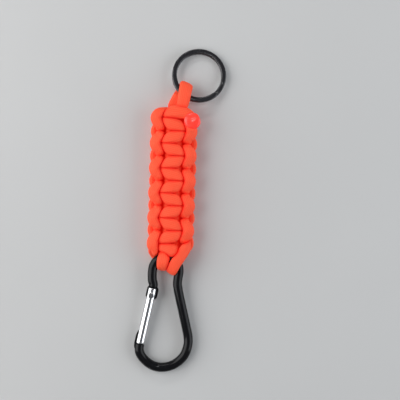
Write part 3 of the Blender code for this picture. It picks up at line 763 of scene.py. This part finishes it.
def round_bar(line, at, radius, sides, normal, edge=0.45):
    """Rings of a round bar along a line, with its two ends rounded over."""
    tangent = unit(np.gradient(line, axis=0))
    across = unit(np.cross(tangent, normal))
    up = np.cross(across, tangent)
    angle = np.arange(sides) * math.tau / sides
    ring = np.cos(angle)[None, :, None] * across[:, None] + np.sin(angle)[None, :, None] * up[:, None]
    rings = line[:, None] + radius * ring
    caps = []
    count = EDGE_STEPS
    for end, sign in ((0, -1), (-1, 1)):
        steps = []
        for k in range(1, count + 1):
            turn = math.radians(90 * k / count)
            r = radius - edge * (1 - math.cos(turn))
            shift = edge * math.sin(turn) * sign
            steps.append(line[end] + tangent[end] * shift + r * ring[end])
        caps.append(np.array(steps))
    rings = np.concatenate([caps[0][::-1], rings, caps[1]])
    before = at[0] - edge * np.arange(count, 0, -1) / count
    after = at[-1] + edge * np.arange(1, count + 1) / count
    return rings, np.concatenate([before, at, after])


def plate(name, outline, thickness, bevel, matrix):
    """A flat plate of the given outline with softened edges."""
    mesh = bpy.data.meshes.new(name)
    work = bmesh.new()
    low = [work.verts.new((x, y, -thickness / 2)) for x, y in outline]
    high = [work.verts.new((x, y, thickness / 2)) for x, y in outline]
    work.faces.new(low[::-1])
    work.faces.new(high)
    for i in range(len(outline)):
        j = (i + 1) % len(outline)
        work.faces.new((low[i], low[j], high[j], high[i]))
    rims = [e for e in work.edges if e.verts[0].co.z == e.verts[1].co.z]
    bmesh.ops.bevel(work, geom=rims, offset=bevel, segments=3, profile=0.5, affect="EDGES")
    bmesh.ops.recalc_face_normals(work, faces=work.faces)
    bmesh.ops.transform(work, matrix=Matrix.Scale(MM, 4) @ matrix, verts=work.verts)
    work.to_mesh(mesh)
    work.free()
    mesh.shade_smooth()
    mesh.set_sharp_from_angle(angle=math.radians(50))
    return mesh


def rounded(outline, radius, steps=5):
    """An outline with its corners rounded."""
    result = []
    count = len(outline)
    for i in range(count):
        before, here, after = (Vector(outline[(i + k) % count]) for k in (-1, 0, 1))
        to_before, to_after = before - here, after - here
        cut = min(radius, to_before.length * 0.45, to_after.length * 0.45)
        a = here + to_before.normalized() * cut
        b = here + to_after.normalized() * cut
        for k in range(steps + 1):
            t = k / steps
            result.append(tuple(a * (1 - t) ** 2 + here * 2 * t * (1 - t) + b * t * t))
    return result


def hinge_tongue_outline():
    half = TONGUE_WIDTH / 2
    outline = []
    for k in range(41):
        at = math.pi * (1 + k / 40)
        outline.append((CAM_OFFSET + half * math.cos(at), TONGUE_BELOW_PIVOT * math.sin(at)))
    outline += [
        (half + CAM_OFFSET, SHOULDER_ABOVE_PIVOT - 1.0),
        (1.4, SHOULDER_ABOVE_PIVOT + 1.4),
        (-1.4, SHOULDER_ABOVE_PIVOT + 1.4),
        (CAM_OFFSET - half, SHOULDER_ABOVE_PIVOT - 1.0),
    ]
    return [in_gate_frame(x, y) for x, y in outline]


def nose_tongue_outline():
    low = -GATE_LENGTH - SHOULDER_GAP - 1.5
    high = -GATE_LENGTH + NOSE_LENGTH
    outer = -GATE_D / 2 - NOSE_PROUD
    inner = GATE_D / 2 - NOSE_WALL - 0.3
    outline = [
        (-0.6, low - 3.0),
        (1.2, low),
        (inner, low + 1.7),
        (inner, high - 0.6),
        (inner - 0.6, high),
        (outer + 1.6, high),
        (outer + 0.5, high - 0.9),
        (outer, high - 2.8),
        (outer, low + 1.8),
        (outer + 0.25, low),
        (outer + 1.1, low - 1.6),
    ]
    return [in_gate_frame(x, y) for x, y in rounded(outline, 0.5)]


carabiner_turn = carabiner_matrix()
plane_normal = np.array(carabiner_turn.to_3x3().col[2])
rod, rod_at = rod_line()
rod_rings, rod_lengths = round_bar(rod, rod_at, ROD_D / 2, 48, plane_normal)
rod_mesh = tube_from_rings("carabiner_rod", rod_rings, rod_lengths, ROD_D * math.pi)
carabiner_rod = add_piece("carabiner_rod", rod_mesh, anodised, "carabiner")
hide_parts("carabiner_body")
for plate_name, outline in (
    ("carabiner_hinge_tongue", hinge_tongue_outline()),
    ("carabiner_nose_hook", nose_tongue_outline()),
):
    tongue = plate(plate_name, outline, TONGUE_THICK, TONGUE_BEVEL, carabiner_turn)
    add_piece(plate_name, tongue, anodised, "carabiner")


# ---------------------------------------------------------------- the gate


def gate_bar():
    """The gate's round bar in its own frame, with turned ends and a UV map along it."""
    sides = 96
    radius = GATE_D / 2
    edge = 0.3
    low, high = -GATE_LENGTH, GATE_ABOVE_PIVOT
    at = np.linspace(low + edge, high - edge, 40)
    line = np.stack([np.zeros_like(at), at, np.zeros_like(at)], -1)
    rings, lengths = round_bar(line, at, radius, sides, np.array([0.0, 0.0, 1.0]), edge)
    return tube_from_rings("gate_bar", rings, lengths, GATE_D * math.pi)


def box_cutter(name, low, high):
    mesh = bpy.data.meshes.new(name)
    work = bmesh.new()
    size = Vector(high) - Vector(low)
    middle = (Vector(high) + Vector(low)) / 2
    matrix = Matrix.Translation(middle * MM) @ Matrix.Diagonal((*(size * MM), 1.0))
    bmesh.ops.create_cube(work, size=1.0, matrix=matrix)
    work.to_mesh(mesh)
    work.free()
    return mesh


def round_cutter(name, radius, low, high, x=0.0, y=0.0, turn=None):
    mesh = bpy.data.meshes.new(name)
    work = bmesh.new()
    matrix = Matrix.Translation(Vector((x, y, (low + high) / 2)) * MM)
    bmesh.ops.create_cone(
        work,
        cap_ends=True,
        segments=48,
        radius1=radius * MM,
        radius2=radius * MM,
        depth=(high - low) * MM,
        matrix=(turn or Matrix.Identity(4)) @ matrix,
    )
    work.to_mesh(mesh)
    work.free()
    return mesh


def cut_and_softened(mesh, cutters, bevel):
    """The mesh less its cutters, with its new edges slightly rounded."""
    scene = bpy.context.scene
    obj = bpy.data.objects.new("cutting", mesh)
    scene.collection.objects.link(obj)
    tools = []
    for cutter in cutters:
        tool = bpy.data.objects.new(cutter.name, cutter)
        scene.collection.objects.link(tool)
        tools.append(tool)
        modifier = obj.modifiers.new(cutter.name, "BOOLEAN")
        modifier.object = tool
        modifier.operation = "DIFFERENCE"
        modifier.solver = "EXACT"
    soften = obj.modifiers.new("soften", "BEVEL")
    soften.width = bevel * MM
    soften.segments = 2
    soften.limit_method = "ANGLE"
    soften.angle_limit = math.radians(40)
    dependencies = bpy.context.evaluated_depsgraph_get()
    result = bpy.data.meshes.new_from_object(obj.evaluated_get(dependencies), depsgraph=dependencies)
    for tool in tools + [obj]:
        bpy.data.objects.remove(tool, do_unlink=True)
    result.shade_smooth()
    result.set_sharp_from_angle(angle=math.radians(42))
    return result


def build_gate():
    """The gate's bar with its two slots, its bore and a dimple for each head of the rivet."""
    half = SLOT_WIDE / 2
    along_y = Matrix.Rotation(math.radians(-90), 4, "X")
    cutters = [
        box_cutter("hinge_slot", (-5, -SLOT_BELOW_PIVOT, -half), (5, 9, half)),
        box_cutter(
            "nose_slot",
            (-5, -GATE_LENGTH - 3, -half),
            (GATE_D / 2 - NOSE_WALL, -GATE_LENGTH + NOSE_LENGTH + 0.6, half),
        ),
        round_cutter("bore", 1.25, -SLOT_BELOW_PIVOT - 10, -SLOT_BELOW_PIVOT + 1, turn=along_y),
        round_cutter("dimple_over", 0.6, GATE_D / 2 - 0.45, GATE_D, y=2.2),
        round_cutter("dimple_under", 0.6, -GATE_D, -GATE_D / 2 + 0.45, y=2.2),
    ]
    mesh = cut_and_softened(gate_bar(), cutters, 0.07)
    mesh.transform(Matrix.Translation(gate_matrix().translation * MM) @ gate_matrix().to_3x3().to_4x4())
    gate = add_piece("gate_bar", mesh, aluminium, "gate")
    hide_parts("gate")


def turned(name, profile, steps, matrix):
    """A profile of (radius, height) places turned about Z, in the frame of the given matrix."""
    profile = np.array(profile)
    angle = np.arange(steps) * math.tau / steps
    rings = np.stack(
        [
            profile[:, :1] * np.cos(angle),
            profile[:, :1] * np.sin(angle),
            np.repeat(profile[:, 1:], steps, 1),
        ],
        -1,
    )
    mesh = tube_from_rings(name, rings, arc_lengths(np.pad(profile, ((0, 0), (0, 1)))), 4.0)
    mesh.transform(Matrix.Translation(matrix.translation * MM) @ matrix.to_3x3().to_4x4())
    return mesh


def build_rivet():
    """A peened rivet: a low dome with a faint ring round it on each cheek of the gate."""
    face = GATE_D / 2 + 0.06
    dome = []
    for k in range(13):
        at = math.radians(90 * k / 12)
        dome.append((0.02 + 1.38 * math.sin(at), face + 0.08 + 0.27 * math.cos(at)))
    top = dome + [(1.4, face + 0.02), (1.36, face), (0.75, face)]
    profile = top + [(r, -z) for r, z in top[::-1]]
    mesh = turned("pivot_rivet_pin", profile[::-1], 64, gate_matrix())
    rivet = add_piece("pivot_rivet_pin", mesh, steel, "gate")
    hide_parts("pivot_rivet")


build_gate()
build_rivet()
for hidden in ("gate_spring", "spring_plunger"):
    node = frame["nodes"][hidden]
    for material_slot in node.material_slots:
        material_slot.material = steel


# ---------------------------------------------------------------- the key ring

RING_OUTER_D = 25.4
RING_WIRE_WIDTH = 2.3
RING_WIRE_THICK = 1.05
RING_WIRE_POWER = 2.7
RING_TURN_GAP = 0.12
RING_STEP_ANGLE = 34.0
RING_STEP_AT = 20.0
RING_CENTRE = (10.8, 54.0)
RING_HOLD = (4.6, 44.1)
RING_HOLD_Z = 4.45
RING_STEPS = 520
RING_WIRE_SIDES = 32


def ring_matrix():
    """X along the wire where the cord holds it, Y towards the ring's middle, leaning to rest."""
    mean_r = (RING_OUTER_D - RING_WIRE_WIDTH) / 2
    to_middle = Vector((RING_CENTRE[0] - RING_HOLD[0], RING_CENTRE[1] - RING_HOLD[1], 0.0))
    to_middle.normalize()
    thick = RING_WIRE_THICK + RING_TURN_GAP / 2
    turn = Matrix.Rotation(math.atan2(-to_middle.x, to_middle.y), 3, "Z")
    lean = Matrix.Rotation(-math.asin((RING_HOLD_Z - thick - 0.1) / (2 * mean_r)), 3, "X")
    hold = Vector(JOINTS["key_ring_swing"]["pos_m"]) / MM
    return Matrix.Translation(hold) @ (turn @ lean).to_4x4()


def wire_section():
    """The wire's rounded flat section: how far each of its points is outward and upward."""
    half_x, half_y, power = RING_WIRE_WIDTH / 2, RING_WIRE_THICK / 2, RING_WIRE_POWER
    angle = np.arange(RING_WIRE_SIDES) * math.tau / RING_WIRE_SIDES
    cos, sin = np.cos(angle), np.sin(angle)
    radius = (np.abs(cos / half_x) ** power + np.abs(sin / half_y) ** power) ** (-1 / power)
    return radius * cos, radius * sin


def build_ring():
    """The split ring's wire through its turns, stepped up once. Returns its middle line."""
    mean_r = (RING_OUTER_D - RING_WIRE_WIDTH) / 2
    rise = RING_WIRE_THICK + RING_TURN_GAP
    turning = 720.0 - RING_STEP_ANGLE
    count = RING_STEPS
    angle = turning * np.arange(count + 1) / count
    climbed = np.clip((angle - (360.0 - RING_STEP_ANGLE)) / RING_STEP_ANGLE, 0, 1)
    z = rise * (climbed * climbed * (3 - 2 * climbed) - 0.5)
    at = np.radians(RING_STEP_AT + angle)
    out = np.stack([np.cos(at), np.sin(at), np.zeros_like(at)], -1)
    section_x, section_z = wire_section()
    ends = np.minimum(angle, turning - angle) / turning * count
    shrink = np.where(ends < 3, 0.82 + 0.06 * ends, 1.0)[:, None]
    rings = (mean_r + section_x[None] * shrink)[..., None] * out[:, None]
    rings[..., 1] += mean_r
    rings[..., 2] += z[:, None] + section_z[None] * shrink
    matrix = np.array(ring_matrix())
    rings = rings @ matrix[:3, :3].T + matrix[:3, 3]
    rings = rings[:, ::-1]
    mesh = tube_from_rings("key_ring_wire", rings, np.radians(angle) * mean_r, 5.0)
    ring = add_piece("key_ring_wire", mesh, oxide, "key_ring")
    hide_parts("key_ring")
    return rings.mean(1)


ring_line = build_ring()


# ---------------------------------------------------------------- the cord itself


def swung(places, joint_name, degrees):
    """Places turned about a hinge, to keep the cord clear of what swings in it."""
    joint = JOINTS[joint_name]
    pivot = np.array(joint["pos_m"]) / MM
    turn = np.array(Matrix.Rotation(math.radians(degrees), 3, Vector(joint["axis"])))
    return (places - pivot) @ turn.T + pivot


# The cord is kept clear of the rod, and of the ring at these turns of its swing.
ROD_CLEARANCE = ROD_D / 2 + 0.04
RING_CLEARANCE = 1.32
RING_SWINGS = (-110, -85, -55, -25, 0, 30, 60, 90, 125)
obstacles = [(rod[::2] - WEAVE, ROD_CLEARANCE)]
for swing in RING_SWINGS:
    ring_places = swung(ring_line[::2], "key_ring_swing", swing)
    obstacles.append((ring_places - WEAVE, RING_CLEARANCE))
cord_rows, cord_at, part_starts = whole_cord()
rings, cord_tangent, cord_press_shade = cord_rings(cord_rows, cord_at, obstacles)
rings = braided(rings, cord_tangent, cord_at) + WEAVE
rings[..., 2] = np.maximum(rings[..., 2], RESTING_Z)
PIECES = {
    "front": ("cord_front_weave", ("front_weaving_cord",)),
    "wrap_left": ("cord_wrap_left", ("carabiner_wrap_left",)),
    "core": ("cord_core_and_key_loop", ("core_strand_left", "core_strand_right", "key_ring_loop")),
    "wrap_right": ("cord_wrap_right", ("carabiner_wrap_right",)),
    "back": ("cord_back_weave", ("back_weaving_cord",)),
}
order = [name for name, rows in ROUTE_PARTS]
for i, name in enumerate(order):
    first = int(np.searchsorted(cord_at, part_starts[name]))
    last = len(cord_at) - 1
    if i + 1 < len(order):
        last = int(np.searchsorted(cord_at, part_starts[order[i + 1]]))
    piece_name, nodes = PIECES[name]
    part = slice(first, last + 1)
    mesh = tube_from_rings(piece_name, rings[part], cord_at[part], GIRTH)
    # The crease values carry the painted crease shade to the nylon's material.
    crease_shade = mesh.attributes.new("crease_shade", "FLOAT", "POINT")
    values = np.append(cord_press_shade[part].ravel(), [1.0, 1.0])
    crease_shade.data.foreach_set("value", values.astype(np.float32))
    piece = add_piece(piece_name, mesh, nylon, "weave")
    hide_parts(*nodes)


def melted_end(name, node, centre, radius, thick, face, seed):
    """A cord end melted flat: an uneven glossy button with a soft rim."""
    rings_count, sides = 40, 96
    angle = np.arange(sides) * math.tau / sides
    points = np.zeros((rings_count, sides, 3))
    for i in range(rings_count):
        polar = math.pi * (i + 0.5) / rings_count
        flat = math.sin(polar) ** 0.75
        high = math.copysign(abs(math.cos(polar)) ** 0.9, math.cos(polar))
        for k in range(sides):
            x, y = math.cos(angle[k]), math.sin(angle[k])
            uneven = noise.noise(Vector((x * 1.1 + seed, y * 1.1, high * 0.8)))
            lumps = noise.noise(Vector((x * flat * 2.4, y * flat * 2.4 + seed, high)))
            r = radius * flat * (1 + 0.09 * uneven)
            lift = thick * high * (1.0 + 0.07 * lumps)
            points[i, k] = (r * x, r * y, lift)
    points[..., 2] *= face
    if face > 0:
        points = points[::-1]
    points = points + np.array(centre) + WEAVE
    mesh = tube_from_rings(name, points, np.arange(rings_count) * 0.2, 10.0)
    piece = add_piece(name, mesh, melted, "weave")
    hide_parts(node)


melted_end("melted_button_front", "melted_end_front", (8.35, 32.1, 4.3), 3.8, 1.25, 1, 3.1)
melted_end("melted_button_back", "melted_end_back", (-6.9, 34.9, -3.3), 3.1, 1.2, -1, 7.7)


# ---------------------------------------------------------------- floor and lights

FLOOR_REACH = 1.5
corners = [(x * FLOOR_REACH, y * FLOOR_REACH, 0) for x, y in ((-1, -1), (1, -1), (1, 1), (-1, 1))]
floor_mesh = bpy.data.meshes.new("floor")
floor_mesh.from_pydata(corners, [], [(0, 1, 2, 3)])
floor_mesh.materials.append(floor_material())
floor = bpy.data.objects.new("floor", floor_mesh)
bpy.context.scene.collection.objects.link(floor)


def soft_box(name, place, size, power, colour=(1.0, 1.0, 1.0)):
    """A large soft light at a place in metres, aimed at the fob."""
    data = bpy.data.lights.new(name, "AREA")
    data.shape = "RECTANGLE"
    data.size, data.size_y = size
    data.energy = power
    data.color = colour
    light = bpy.data.objects.new(name, data)
    light.location = place
    light.rotation_euler = (-Vector(place)).to_track_quat("-Z", "Y").to_euler()
    bpy.context.scene.collection.objects.link(light)


soft_box("key_light", (-0.53, 0.05, 0.3), (0.7, 0.8), 5.2)
soft_box("fill_light", (0.57, -0.03, 0.24), (0.7, 0.6), 3.2, (0.92, 0.96, 1.0))
soft_box("glint_light", (0.02, 0.16, 0.62), (0.05, 0.05), 0.16)
soft_box("edge_light", (-0.12, 0.55, 0.34), (0.4, 0.03), 0.7)
world = bpy.data.worlds.new("studio")
world.use_nodes = True
world.node_tree.nodes["Background"].inputs["Color"].default_value = (0.8, 0.83, 0.88, 1.0)
world.node_tree.nodes["Background"].inputs["Strength"].default_value = 0.18
bpy.context.scene.world = world
